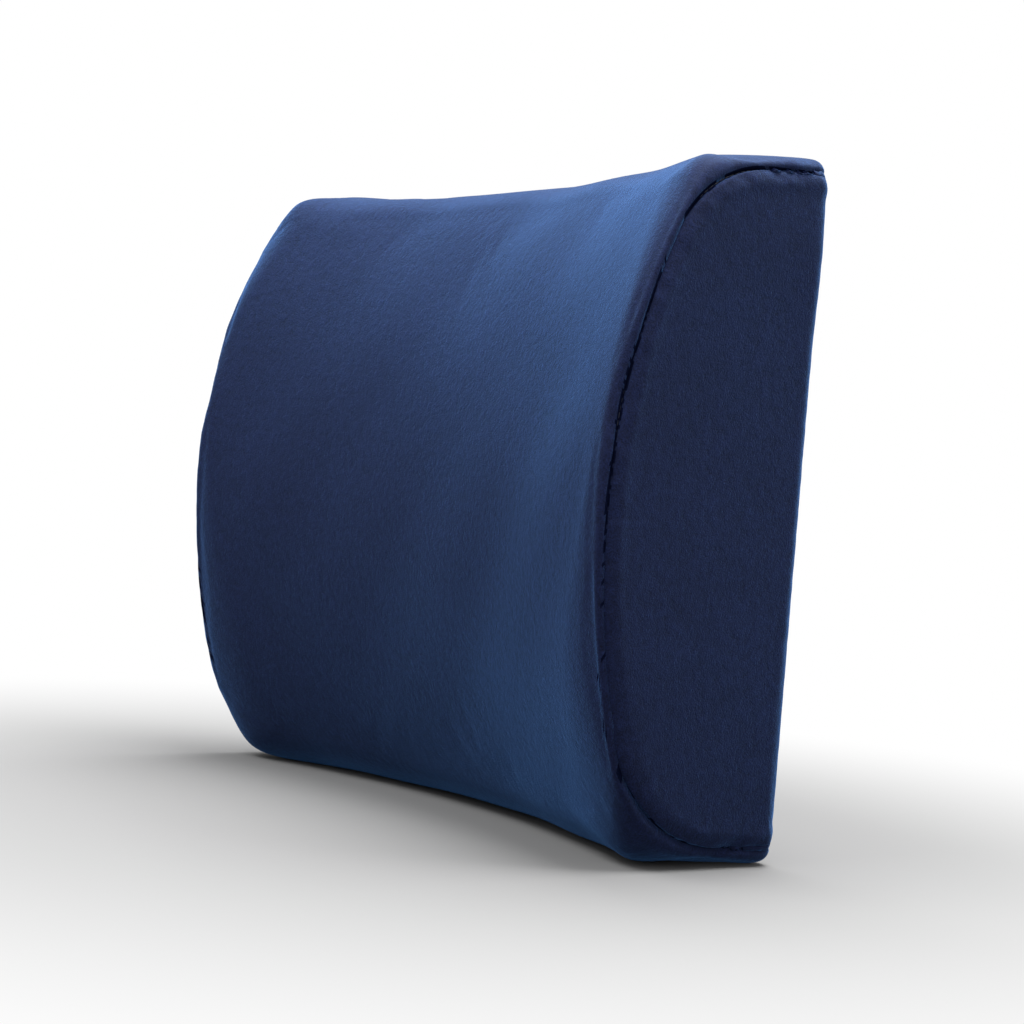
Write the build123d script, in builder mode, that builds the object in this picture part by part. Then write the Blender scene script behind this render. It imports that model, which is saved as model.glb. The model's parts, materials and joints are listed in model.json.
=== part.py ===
from build123d import *
import os

# Lumbar support cushion with a zipped cover and an elastic strap for a chair back.
# Millimetres. X runs along the cushion's width, the crowned front faces -Y, the flat back faces +Y,
# and Z is up from the base. The origin is the middle of the whole object's box, on the surface it stands on.

# ---- driving dimensions ----
WIDTH = 355.0
HEIGHT = 320.0
CROWN = 125.0            # depth from the back to the crown, at each end
CROWN_HEIGHT = 158.0     # height of the deepest point
CROWN_LOSS = 2.7         # the rounded end edges take this off the crown
TOP_DEPTH = 79.5         # depth of the top face, at each end
BASE_DEPTH = 88.0        # depth of the base, at each end
TOP_FALL = 7.5           # the top face falls this much towards the front
CROWN_SAG = 25.5         # the front is hollowed this much at mid-width
TOP_SAG = 36.0
BASE_SAG = 38.0
TOP_RADIUS = 30.0
BASE_RADIUS = 38.0
BACK_RADIUS = 10.0
EDGE_RADIUS = 9.0        # round between the front and each end face
BASE_PRESS = 0.4         # the base is pressed flat by this much

COVER = 2.4              # velour with its backing
LINER_INSET = 3.1
LINER = 0.4
FOAM_INSET = 3.8
SEAM_INSET = 8.0         # the end seam's distance inside the edge
SEAM_TOP_RADIUS = 46.0
SEAM_BASE_RADIUS = 56.0
BACK_SEAM = 6.0          # the back panel's seam, measured in from the back
GROOVE = 0.8             # width and depth of the stitched groove along a seam

WEB_WIDTH = 25.0
WEB = 1.4
WEB_GAP = 0.3            # between the back and the webbing
FOLD_GAP = 0.8           # between two layers of webbing
STRAP_Z = 190.0
TACK_WIDTH = 2.5         # bar tack sewn across the webbing near its end
TACK = 0.3
TACK_INSET = 6.0
TACK_SHORT = 2.0
STITCHED = 30.0          # length of webbing folded back and sewn at the socket
LEAD = 4.0               # straight webbing beside a buckle's bar
RAMP = 16.0              # where the webbing lies flat on the back again
RAMP_ROUND = 15.0
FOLD_ROUND = 9.0
FOLD_STEPS = (24.0, 12.0)  # the fold rises to the adjuster between these distances
WRAP_GAP = 0.2           # between a bar and the webbing round it

BUCKLE = 8.0             # buckle thickness
BUCKLE_GAP = 1.0         # between the back and the buckle
BUCKLE_WIDTH = 36.0
BUCKLE_WALL = 1.6
SOCKET_LENGTH = 34.0
MOUTH_GAP = 0.4
BAR_RADIUS = 1.5
PLUG_LENGTH = 15.0
SOCKET_BAR_IN = 3.0      # each webbing bar's distance from its piece's end
PLUG_BAR_IN = 3.5
PRONG_LENGTH = 21.0
PRONG_WIDTH = 3.6
PRONG_Z = 11.0           # the prong roots' distance from the buckle's middle
HOOK_Z = 17.6            # how far out the prongs' pressing pads reach
GUIDE_WIDTH = 4.0
FIT = 0.35               # clearance between moving plastic pieces
BUCKLE_ROUND = 2.2
ARM_GAP = 1.6            # between the webbing's edge and a bar's arms
ARM_HALF = 2.0
BAR_SHORT = 1.0
SOCKET_LIP = 2.0
WINDOW = (-20.5, -8.6)   # the side windows of the socket, along X
GUIDE_HALF = 1.2
GUIDE_SHORT = 2.0
PRONG_RAMP = 7.0
HOOK_X = -9.4

ADJUSTER_X = 76.0
ADJUSTER_LENGTH = 22.0
ADJUSTER_WIDTH = 32.0
ADJUSTER = 2.6
ADJUSTER_CORNER = 2.5
ADJUSTER_ROUND = 0.8
ADJUSTER_FRAME = 6.0
ADJUSTER_SPARE = 1.2     # the slots are wider than the webbing

ZIP_Z = 62.0
ZIP_LENGTH = 250.0
ZIP_SLOT = 10.0
TAPE_WIDTH = 13.0
TAPE = 0.5
TAPE_DEPTH = 1.2         # from the back's surface to the tape's outer face
COIL_WIDTH = 2.4
COIL_HEIGHT = 1.4
COIL_GAP = 1.8           # between the two rows of teeth
COIL_END = 4.0           # the rows stop this far from the zip's ends
STOP_LENGTH = 2.5
STOP_GAP = 0.5
SLOT_SPARE = 3.0         # the slot in the back panel runs past the zip
TAPE_SPARE = 4.0         # and the tape past the slot
TAPE_FIT = 0.1
SLIDER_LENGTH = 11.0
SLIDER_WIDTH = 8.6
SLIDER_CORNER = 2.0
SLIDER_STOP = 10.0       # the closed slider's distance from the zip's end
SLIDER_PLATE = 0.8
SLIDER_FIT = 0.3         # between the tape and the slider's lower plate
SLIDER_POST = (1.5, 4.5)  # the post that parts the teeth, along the slider
BAIL_WIDTH = 1.8
BAIL_WALL = 1.0
BAIL_RISE = 0.9
PIN_FIT = 0.08
PULL_LENGTH = 28.0
PULL_WIDTH = 6.5
PULL = 1.4
PULL_PIN = 0.7           # radius of the crossbar that the pull turns on
PULL_WINDOW = (7.6, 3.2, 0.8)   # length, width and corner radius
PULL_WINDOW_X = 3.4
PULL_HOLE = 1.3
PULL_HOLE_END = 5.0
CROSSBAR_LENGTH = 5.0
LABEL = (26.0, 44.0, 0.4)
LABEL_RISE = 50.0        # the label's middle is this far above the zip

# ---- places worked out from them ----
BACK_Y = (CROWN - CROWN_LOSS - BUCKLE_GAP - BUCKLE) / 2
WEB_Y = BACK_Y + WEB_GAP + WEB / 2
WEB_END_X = WIDTH / 2 - BACK_RADIUS
BAR_Y = BACK_Y + BUCKLE_GAP + BUCKLE / 2
SOCKET_BAR_X = SOCKET_BAR_IN - SOCKET_LENGTH
PLUG_BAR_X = PLUG_LENGTH - PLUG_BAR_IN
WRAP_RADIUS = BAR_RADIUS + WRAP_GAP + WEB / 2
ADJUSTER_BAR = ADJUSTER / 2
ADJUSTER_WRAP = ADJUSTER_BAR + WRAP_GAP + WEB / 2
ADJUSTER_Y = WEB_Y + WEB + WEB_GAP + ADJUSTER_WRAP
FOLD_Y = WEB_Y + WEB + FOLD_GAP
TAPE_Y = BACK_Y - TAPE_DEPTH - TAPE / 2
COIL_Y = BACK_Y - TAPE_DEPTH + COIL_HEIGHT / 2
SLIDER_X = ZIP_LENGTH / 2 - SLIDER_STOP
SLIDER_TOP_Y = COIL_Y + COIL_HEIGHT / 2 + FIT
PIVOT_Y = SLIDER_TOP_Y + SLIDER_PLATE + PULL_PIN + BAIL_RISE

os.makedirs("parts", exist_ok=True)


def save(piece, name):
    """Label a finished piece and write it as its own node."""
    piece.part.label = name
    export_step(piece.part, f"parts/{name}.step")


def long_edges(form, half):
    """The edges that run the whole width, or nearly."""
    return form.edges().filter_by(lambda edge: abs((edge @ 1 - edge @ 0).X) > half)


def cushion_form(inset):
    """The cushion's closed form, set in from the cover's outer face."""
    half = WIDTH / 2 - inset
    low = inset - BASE_PRESS
    with BuildPart() as form:
        for share in (-1.0, 0.0, 1.0):
            bow = 1 - share ** 2
            top = (BACK_Y - TOP_DEPTH + TOP_SAG * bow + inset, HEIGHT - TOP_FALL - inset)
            base = (BACK_Y - BASE_DEPTH + BASE_SAG * bow + inset, low)
            crown = (BACK_Y - CROWN + CROWN_SAG * bow + inset, CROWN_HEIGHT)
            with BuildSketch(Plane.YZ.offset(share * half)):
                with BuildLine():
                    Line((BACK_Y - inset, low), base)
                    ThreePointArc(base, crown, top)
                    Line(top, (BACK_Y - inset, HEIGHT - inset))
                    Line((BACK_Y - inset, HEIGHT - inset), (BACK_Y - inset, low))
                make_face()
        loft()
        lower = long_edges(form, half).sort_by(Axis.Z)[:2]
        fillet(lower.sort_by(Axis.Y)[0], BASE_RADIUS - inset)
        upper = long_edges(form, half).sort_by(Axis.Z)[-2:]
        fillet(upper.sort_by(Axis.Y)[0], TOP_RADIUS - inset)
        fillet(long_edges(form, half).sort_by(Axis.Y)[-2:], BACK_RADIUS - inset)
        ends = form.faces().sort_by(Axis.X)
        fillet(ends[0].edges() + ends[-1].edges(), EDGE_RADIUS - inset)
        with Locations((0, 0, inset)):
            Box(2 * WIDTH, 2 * WIDTH, 2 * HEIGHT,
                align=(Align.CENTER, Align.CENTER, Align.MIN), mode=Mode.INTERSECT)
    return form.part


def seam_block(start, reach, grow=0.0):
    """A block with the end seam's outline, from x = start to x = start + reach."""
    inset = SEAM_INSET - grow
    top = (BACK_Y - TOP_DEPTH + inset, HEIGHT - TOP_FALL - inset)
    base = (BACK_Y - BASE_DEPTH + inset, inset)
    crown = (BACK_Y - CROWN + inset, CROWN_HEIGHT)
    back_y = BACK_Y - BACK_SEAM - GROOVE
    with BuildPart() as block:
        with BuildSketch(Plane.YZ.offset(start)) as outline:
            with BuildLine():
                Line((back_y, inset), base)
                ThreePointArc(base, crown, top)
                Line(top, (back_y, HEIGHT - inset))
                Line((back_y, HEIGHT - inset), (back_y, inset))
            make_face()
            lower = outline.vertices().sort_by(Axis.Y)[:2]
            fillet(lower.sort_by(Axis.X)[0], SEAM_BASE_RADIUS + grow)
            upper = outline.vertices().sort_by(Axis.Y)[-2:]
            fillet(upper.sort_by(Axis.X)[0], SEAM_TOP_RADIUS + grow)
        extrude(amount=reach)
    return block.part


def back_slab(depth):
    """Everything behind a plane that lies this deep below the back."""
    with BuildPart() as slab:
        with Locations((0, BACK_Y - depth, HEIGHT / 2)):
            Box(2 * WIDTH, CROWN, 2 * HEIGHT, align=(Align.CENTER, Align.MIN, Align.CENTER))
    return slab.part


def webbing(route, radius):
    """A flat band of webbing along a route of (x, y) points at the strap's height."""
    with BuildPart() as band:
        with BuildLine(Plane.XY.offset(STRAP_Z)) as line:
            FilletPolyline(*route, radius=radius)
        start = Plane(origin=line.line @ 0, x_dir=(0, 0, 1), z_dir=line.line % 0)
        with BuildSketch(start):
            Rectangle(WEB_WIDTH, WEB)
        sweep(path=line.line)
    return band.part


def wrap(bar_x, bar_y, radius, side):
    """Webbing that turns half round a bar, bulging towards +X for side 1 and -X for side -1."""
    with BuildPart() as turn:
        with BuildSketch(Plane.XY.offset(STRAP_Z - WEB_WIDTH / 2)):
            with Locations((bar_x, bar_y)):
                Circle(radius + WEB / 2)
                Circle(radius - WEB / 2, mode=Mode.SUBTRACT)
            with Locations((bar_x - side * radius, bar_y)):
                Rectangle(2 * radius, 4 * radius, mode=Mode.SUBTRACT)
        extrude(amount=WEB_WIDTH)
    return turn.part


def block(low, high, mode=Mode.ADD):
    """A box between two opposite corners, in the builder that is open."""
    middle = tuple((a + b) / 2 for a, b in zip(low, high))
    with Locations(middle):
        return Box(*(b - a for a, b in zip(low, high)), mode=mode)


def upright_pin(x, y, z, radius, length, mode=Mode.ADD):
    """A round bar along Z, centred on a point, in the builder that is open."""
    with Locations((x, y, z)):
        return Cylinder(radius, length, mode=mode)


# ---- cushion: foam, liner and cover ----

with BuildPart() as foam_core:
    add(cushion_form(FOAM_INSET))
save(foam_core, "foam_core")

with BuildPart() as inner_liner:
    add(cushion_form(LINER_INSET))
    add(cushion_form(LINER_INSET + LINER), mode=Mode.SUBTRACT)
save(inner_liner, "inner_liner")

with BuildPart() as cover_skin:
    add(cushion_form(0))
    add(cushion_form(COVER), mode=Mode.SUBTRACT)

end_start = WIDTH / 2 - EDGE_RADIUS
end_reach = 2 * EDGE_RADIUS
for side, name in ((1, "right"), (-1, "left")):
    seam_inner = seam_block(side * end_start, side * end_reach)
    seam_outer = seam_block(side * end_start, side * end_reach, GROOVE)
    with BuildPart() as end_panel:
        add(cover_skin.part)
        add(seam_inner, mode=Mode.INTERSECT)
    save(end_panel, f"end_panel_{name}")
    with BuildPart() as end_seam:
        add(cover_skin.part)
        add(seam_outer, mode=Mode.INTERSECT)
        add(seam_inner, mode=Mode.SUBTRACT)
    save(end_seam, f"end_seam_{name}")

with BuildPart() as cover_wrap:
    add(cover_skin.part)
    add(seam_block(end_start, end_reach, GROOVE), mode=Mode.SUBTRACT)
    add(seam_block(-end_start, -end_reach, GROOVE), mode=Mode.SUBTRACT)
    add(back_slab(BACK_SEAM + GROOVE), mode=Mode.SUBTRACT)
save(cover_wrap, "cover_wrap")

with BuildPart() as back_seam:
    add(cover_skin.part)
    add(back_slab(BACK_SEAM + GROOVE), mode=Mode.INTERSECT)
    add(back_slab(BACK_SEAM), mode=Mode.SUBTRACT)
save(back_seam, "back_seam")

slot_half = ZIP_LENGTH / 2 + SLOT_SPARE
tape_half = slot_half + TAPE_SPARE
with BuildPart() as back_panel:
    add(cover_skin.part)
    add(back_slab(BACK_SEAM), mode=Mode.INTERSECT)
    block((-slot_half, BACK_Y - 2 * COVER, ZIP_Z - ZIP_SLOT / 2),
          (slot_half, BACK_Y + 1, ZIP_Z + ZIP_SLOT / 2), Mode.SUBTRACT)
    recess = (tape_half + TAPE_FIT, TAPE / 2 + TAPE_FIT, TAPE_WIDTH + COIL_GAP / 2 + TAPE_FIT)
    block((-recess[0], TAPE_Y - recess[1], ZIP_Z - recess[2]),
          (recess[0], TAPE_Y + recess[1], ZIP_Z + recess[2]), Mode.SUBTRACT)

for name, low_z, high_z in (("upper", ZIP_Z, HEIGHT + 1), ("lower", -1, ZIP_Z)):
    with BuildPart() as back_half:
        add(back_panel.part)
        block((-WIDTH, BACK_Y - CROWN, low_z), (WIDTH, BACK_Y + 1, high_z), Mode.INTERSECT)
    save(back_half, f"back_panel_{name}")

# ---- zip ----

row_half = ZIP_LENGTH / 2 - COIL_END
for name, up in (("upper", 1), ("lower", -1)):
    inner_z = ZIP_Z + up * COIL_GAP / 2
    with BuildPart() as zip_tape:
        low_z, high_z = sorted((inner_z, inner_z + up * TAPE_WIDTH))
        block((-tape_half, TAPE_Y - TAPE / 2, low_z), (tape_half, TAPE_Y + TAPE / 2, high_z))
    save(zip_tape, f"zip_tape_{name}")
    with BuildPart() as zip_teeth:
        low_z, high_z = sorted((inner_z, inner_z + up * COIL_WIDTH))
        block((-row_half, COIL_Y - COIL_HEIGHT / 2, low_z), (row_half, COIL_Y + COIL_HEIGHT / 2, high_z))
        fillet(zip_teeth.edges().filter_by(Axis.X).group_by(Axis.Y)[-1], COIL_HEIGHT / 3)
    save(zip_teeth, f"zip_teeth_{name}")

stop_half = COIL_GAP / 2 + COIL_WIDTH
stop_start = row_half + STOP_GAP
with BuildPart() as zip_end_stops:
    for side in (1, -1):
        near, far = sorted((side * stop_start, side * (stop_start + STOP_LENGTH)))
        block((near, COIL_Y - COIL_HEIGHT / 2, ZIP_Z - stop_half),
              (far, COIL_Y + COIL_HEIGHT / 2, ZIP_Z + stop_half))
save(zip_end_stops, "zip_end_stops")

slider_low_y = TAPE_Y - TAPE / 2 - SLIDER_FIT
bail_radius = PIVOT_Y - SLIDER_TOP_Y
with BuildPart() as zip_slider:
    with BuildSketch(Plane.XZ.offset(-SLIDER_TOP_Y)):
        with Locations((SLIDER_X, ZIP_Z)):
            RectangleRounded(SLIDER_LENGTH, SLIDER_WIDTH, SLIDER_CORNER)
    extrude(amount=-SLIDER_PLATE)
    with BuildSketch(Plane.XZ.offset(-slider_low_y)):
        with Locations((SLIDER_X, ZIP_Z)):
            RectangleRounded(SLIDER_LENGTH, SLIDER_WIDTH, SLIDER_CORNER)
    extrude(amount=SLIDER_PLATE)
    block((SLIDER_X + SLIDER_POST[0], slider_low_y - SLIDER_PLATE / 2, ZIP_Z - COIL_GAP / 2 + FIT),
          (SLIDER_X + SLIDER_POST[1], SLIDER_TOP_Y + SLIDER_PLATE / 2, ZIP_Z + COIL_GAP / 2 - FIT))
    with BuildSketch(Plane.XY.offset(ZIP_Z - BAIL_WIDTH / 2)):
        with Locations((SLIDER_X, PIVOT_Y)):
            Circle(PULL_PIN + BAIL_WALL)
        with Locations((SLIDER_X, (PIVOT_Y + SLIDER_TOP_Y) / 2)):
            Rectangle(2 * (PULL_PIN + BAIL_WALL), bail_radius)
        with Locations((SLIDER_X, PIVOT_Y)):
            Circle(PULL_PIN + PIN_FIT, mode=Mode.SUBTRACT)
    extrude(amount=BAIL_WIDTH)
save(zip_slider, "zip_slider")

with BuildPart() as zip_pull:
    with BuildSketch(Plane.XZ.offset(-PIVOT_Y + PULL / 2)):
        with Locations((SLIDER_X + PULL_LENGTH / 2, ZIP_Z)):
            SlotOverall(PULL_LENGTH, PULL_WIDTH)
        with Locations((SLIDER_X + PULL_WINDOW_X, ZIP_Z)):
            RectangleRounded(*PULL_WINDOW, mode=Mode.SUBTRACT)
        with Locations((SLIDER_X + PULL_LENGTH - PULL_HOLE_END, ZIP_Z)):
            Circle(PULL_HOLE, mode=Mode.SUBTRACT)
        with Locations((SLIDER_X - PULL_WIDTH, ZIP_Z)):
            Rectangle(2 * PULL_WIDTH, 2 * PULL_WIDTH, mode=Mode.SUBTRACT)
    extrude(amount=-PULL)
    upright_pin(SLIDER_X, PIVOT_Y, ZIP_Z, PULL_PIN, CROSSBAR_LENGTH)
save(zip_pull, "zip_pull")

# ---- strap ----

with BuildPart() as strap_left:
    add(webbing([(-WEB_END_X, WEB_Y), (SOCKET_BAR_X - RAMP, WEB_Y),
                 (SOCKET_BAR_X - LEAD, BAR_Y - WRAP_RADIUS), (SOCKET_BAR_X, BAR_Y - WRAP_RADIUS)], RAMP_ROUND))
    add(wrap(SOCKET_BAR_X, BAR_Y, WRAP_RADIUS, 1))
    add(webbing([(SOCKET_BAR_X, BAR_Y + WRAP_RADIUS), (SOCKET_BAR_X - LEAD, BAR_Y + WRAP_RADIUS),
                 (SOCKET_BAR_X - RAMP, FOLD_Y), (SOCKET_BAR_X - STITCHED, FOLD_Y)], FOLD_ROUND))
save(strap_left, "strap_left")

with BuildPart() as strap_right:
    add(webbing([(WEB_END_X, WEB_Y), (PLUG_BAR_X + RAMP, WEB_Y),
                 (PLUG_BAR_X + LEAD, BAR_Y - WRAP_RADIUS), (PLUG_BAR_X, BAR_Y - WRAP_RADIUS)], RAMP_ROUND))
save(strap_right, "strap_right")

fold_top_y = ADJUSTER_Y + ADJUSTER_WRAP
with BuildPart() as strap_fold:
    add(wrap(PLUG_BAR_X, BAR_Y, WRAP_RADIUS, -1))
    add(webbing([(PLUG_BAR_X, BAR_Y + WRAP_RADIUS), (PLUG_BAR_X + LEAD, BAR_Y + WRAP_RADIUS),
                 (PLUG_BAR_X + RAMP, FOLD_Y), (ADJUSTER_X - FOLD_STEPS[0], FOLD_Y),
                 (ADJUSTER_X - FOLD_STEPS[1], fold_top_y), (ADJUSTER_X, fold_top_y)], FOLD_ROUND))
    add(wrap(ADJUSTER_X, ADJUSTER_Y, ADJUSTER_WRAP, 1))
save(strap_fold, "strap_fold")

for side, name in ((1, "right"), (-1, "left")):
    with BuildPart() as bar_tack:
        with Locations((side * (WEB_END_X - TACK_INSET), WEB_Y + WEB / 2 + TACK / 2, STRAP_Z)):
            Box(TACK_WIDTH, TACK, WEB_WIDTH - TACK_SHORT)
    save(bar_tack, f"bar_tack_{name}")

slot_length = (ADJUSTER_LENGTH - ADJUSTER_FRAME - ADJUSTER) / 2
with BuildPart() as strap_adjuster:
    with BuildSketch(Plane.XZ.offset(-ADJUSTER_Y + ADJUSTER / 2)):
        with Locations((ADJUSTER_X, STRAP_Z)):
            RectangleRounded(ADJUSTER_LENGTH, ADJUSTER_WIDTH, ADJUSTER_CORNER)
            Rectangle(2 * slot_length + ADJUSTER, WEB_WIDTH + ADJUSTER_SPARE, mode=Mode.SUBTRACT)
    extrude(amount=-ADJUSTER)
    fillet(strap_adjuster.edges().filter_by(Axis.Z), ADJUSTER_ROUND)
    upright_pin(ADJUSTER_X, ADJUSTER_Y, STRAP_Z, ADJUSTER_BAR, WEB_WIDTH + 2 * ADJUSTER_SPARE)
save(strap_adjuster, "strap_adjuster")

# ---- buckle ----

low_y, high_y = BACK_Y + BUCKLE_GAP, BACK_Y + BUCKLE_GAP + BUCKLE
half_z = BUCKLE_WIDTH / 2
arm_z = WEB_WIDTH / 2 + ARM_GAP
arm_y = (BAR_Y - ARM_HALF, BAR_Y + ARM_HALF)

with BuildPart() as buckle_socket:
    pocket = SOCKET_BAR_X + WRAP_RADIUS + WEB
    block((pocket, low_y, STRAP_Z - half_z), (0, high_y, STRAP_Z + half_z))
    fillet(buckle_socket.edges().filter_by(Axis.X), BUCKLE_ROUND)
    block((pocket + SOCKET_LIP, low_y + BUCKLE_WALL, STRAP_Z - half_z + BUCKLE_WALL),
          (1, high_y - BUCKLE_WALL, STRAP_Z + half_z - BUCKLE_WALL), Mode.SUBTRACT)
    for side in (1, -1):
        near, far = sorted((STRAP_Z + side * (half_z - 2 * BUCKLE_WALL), STRAP_Z + side * (half_z + 1)))
        block((WINDOW[0], low_y + BUCKLE_WALL, near), (WINDOW[1], high_y - BUCKLE_WALL, far), Mode.SUBTRACT)
        near, far = sorted((STRAP_Z + side * arm_z, STRAP_Z + side * half_z))
        block((SOCKET_BAR_X, arm_y[0], near), (pocket + 1, arm_y[1], far))
    upright_pin(SOCKET_BAR_X, BAR_Y, STRAP_Z, BAR_RADIUS, BUCKLE_WIDTH - BAR_SHORT)
save(buckle_socket, "buckle_socket")

with BuildPart() as buckle_plug:
    block((MOUTH_GAP, low_y, STRAP_Z - half_z), (PLUG_BAR_X - WRAP_RADIUS - WEB, high_y, STRAP_Z + half_z))
    fillet(buckle_plug.edges().filter_by(Axis.X), BUCKLE_ROUND)
    for side in (1, -1):
        near, far = sorted((STRAP_Z + side * arm_z, STRAP_Z + side * half_z))
        block((PLUG_BAR_X - WRAP_RADIUS - 2 * WEB, arm_y[0], near), (PLUG_BAR_X, arm_y[1], far))
    upright_pin(PLUG_BAR_X, BAR_Y, STRAP_Z, BAR_RADIUS, BUCKLE_WIDTH - BAR_SHORT)
    block((-PRONG_LENGTH + GUIDE_SHORT, BAR_Y - GUIDE_HALF, STRAP_Z - GUIDE_WIDTH / 2),
          (1, BAR_Y + GUIDE_HALF, STRAP_Z + GUIDE_WIDTH / 2))
save(buckle_plug, "buckle_plug")

root_x = -PRONG_WIDTH / 2
prong_half = BUCKLE / 2 - BUCKLE_WALL - FIT
for side, name in ((1, "upper"), (-1, "lower")):
    inner_z = STRAP_Z + side * (PRONG_Z - PRONG_WIDTH / 2)
    outer_z = STRAP_Z + side * (PRONG_Z + PRONG_WIDTH / 2)
    hook_z = STRAP_Z + side * HOOK_Z
    with BuildPart() as prong:
        with BuildSketch(Plane.XZ.offset(-BAR_Y - prong_half)):
            with BuildLine():
                Polyline((root_x, inner_z), (-PRONG_LENGTH, inner_z), (-PRONG_LENGTH, outer_z),
                         (-PRONG_LENGTH + PRONG_RAMP, hook_z), (HOOK_X, hook_z),
                         (HOOK_X, outer_z), (root_x, outer_z), close=True)
            make_face()
            with Locations((root_x, STRAP_Z + side * PRONG_Z)):
                Circle(PRONG_WIDTH / 2)
        extrude(amount=2 * prong_half)
    save(prong, f"buckle_prong_{name}")

# ---- label ----

with BuildPart() as care_label:
    with Locations((-WEB_END_X + LABEL[0] / 2, BACK_Y + WEB_GAP + LABEL[2] / 2, ZIP_Z + LABEL_RISE)):
        Box(LABEL[0], LABEL[2], LABEL[1])
save(care_label, "care_label")
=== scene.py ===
import functools
import json
import math
import bmesh
import bpy
import numpy as np
from mathutils import Matrix, Vector

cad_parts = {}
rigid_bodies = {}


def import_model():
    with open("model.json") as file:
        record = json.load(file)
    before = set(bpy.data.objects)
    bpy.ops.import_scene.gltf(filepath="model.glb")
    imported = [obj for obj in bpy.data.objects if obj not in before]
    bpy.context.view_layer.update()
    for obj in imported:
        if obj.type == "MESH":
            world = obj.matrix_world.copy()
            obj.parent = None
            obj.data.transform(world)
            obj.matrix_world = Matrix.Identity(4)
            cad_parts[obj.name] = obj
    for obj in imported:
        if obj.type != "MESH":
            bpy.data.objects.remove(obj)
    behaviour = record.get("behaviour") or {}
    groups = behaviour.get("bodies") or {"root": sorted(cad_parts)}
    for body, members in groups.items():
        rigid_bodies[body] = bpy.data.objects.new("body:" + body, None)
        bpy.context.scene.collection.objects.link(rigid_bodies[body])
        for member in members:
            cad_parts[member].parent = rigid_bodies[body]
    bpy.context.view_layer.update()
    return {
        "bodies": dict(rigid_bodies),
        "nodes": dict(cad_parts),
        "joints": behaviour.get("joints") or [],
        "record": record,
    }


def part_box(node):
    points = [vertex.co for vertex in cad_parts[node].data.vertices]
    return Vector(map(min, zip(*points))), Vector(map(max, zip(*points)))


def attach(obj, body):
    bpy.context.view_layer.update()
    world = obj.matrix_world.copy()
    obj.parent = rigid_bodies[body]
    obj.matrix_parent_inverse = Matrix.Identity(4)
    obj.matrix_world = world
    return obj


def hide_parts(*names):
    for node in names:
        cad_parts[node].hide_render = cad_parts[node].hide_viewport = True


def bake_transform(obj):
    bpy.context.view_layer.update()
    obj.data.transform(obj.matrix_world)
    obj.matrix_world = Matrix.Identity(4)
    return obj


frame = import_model()

# ---- cushion dimensions, in metres, from the frame and the maker's pattern ----
MM = 0.001
NODES = frame["nodes"]
BACK_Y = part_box("back_panel_upper")[1][1]
HALF_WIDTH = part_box("cover_wrap")[1][0]
HEIGHT = 320 * MM
CROWN = 121.5 * MM
CROWN_HEIGHT = 149 * MM
TOP_DEPTH, BASE_DEPTH = 78.5 * MM, 87.5 * MM
TOP_FALL = 7.3 * MM
CROWN_SAG, TOP_SAG, BASE_SAG = 28.5 * MM, 38 * MM, 39 * MM
TOP_RADIUS, BASE_RADIUS = 27 * MM, 34 * MM
EDGE = 9 * MM                 # round at the back panel's corners
TOP_ROUND = 12 * MM           # round between the top and an end face
FRONT_ROUND = 13 * MM         # round between the front and an end face
CORNER_SOFTENING = 15 * MM    # the end faces' corners are rounder than the front's
BACK_EDGE = 8 * MM            # round of the edge towards the back
SEAM_TURN = math.radians(65)  # how far round that edge the cover's panels go before the back seam
BACK_SEAM = BACK_EDGE * (1 - math.sin(SEAM_TURN))
SEAM_TOP, SEAM_FRONT, SEAM_BASE = 6.0 * MM, 6.2 * MM, 8.0 * MM
SEAM_TOP_RADIUS, SEAM_BASE_RADIUS = 62 * MM, 72 * MM
EAR_LIFT = 5.2 * MM           # the left end's stuffed corners stand up a little
CLOTH_THICKNESS = 1.4 * MM
HEM = 3.5 * MM                # cloth turned in at a seam
ZIP_Z = 62 * MM
ZIP_HALF = 125 * MM
STUFFING_FRAMES = 14
STUFFING_CAP = 0.4 * MM       # the cloth may swell out by this much
ZIP_OPENING = 4.6 * MM        # half the gap between the two hems along the zip


# ---- small helpers ----

def link(piece):
    bpy.context.scene.collection.objects.link(piece)
    return piece


def piece_from(bm, name, smooth=True):
    """A finished piece from a bmesh."""
    mesh = bpy.data.meshes.new(name)
    bm.to_mesh(mesh)
    bm.free()
    mesh.polygons.foreach_set("use_smooth", [smooth] * len(mesh.polygons))
    return link(bpy.data.objects.new(name, mesh))


def apply_modifiers(piece):
    """Bake a piece's modifiers into its mesh."""
    graph = bpy.context.evaluated_depsgraph_get()
    mesh = bpy.data.meshes.new_from_object(piece.evaluated_get(graph))
    piece.modifiers.clear()
    piece.data = mesh
    return piece


def cloth_sheet(name, places, flip=False):
    """A grid of cloth whose vertices stand at places[row, column]."""
    rows, columns = places.shape[:2]
    bm = bmesh.new()
    bmesh.ops.create_grid(bm, x_segments=columns - 1, y_segments=rows - 1, size=1.0)
    for vertex in bm.verts:
        column = round((vertex.co.x + 1) / 2 * (columns - 1))
        row = round((vertex.co.y + 1) / 2 * (rows - 1))
        vertex.co = places[row, column]
    bmesh.ops.remove_doubles(bm, verts=bm.verts, dist=0.02 * MM)
    if flip:
        bmesh.ops.reverse_faces(bm, faces=bm.faces)
    return piece_from(bm, name)


def thicken(piece, thickness=CLOTH_THICKNESS):
    """Give a sheet its thickness, inwards."""
    modifier = piece.modifiers.new("thickness", "SOLIDIFY")
    modifier.thickness = thickness
    modifier.offset = -1
    return apply_modifiers(piece)


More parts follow.
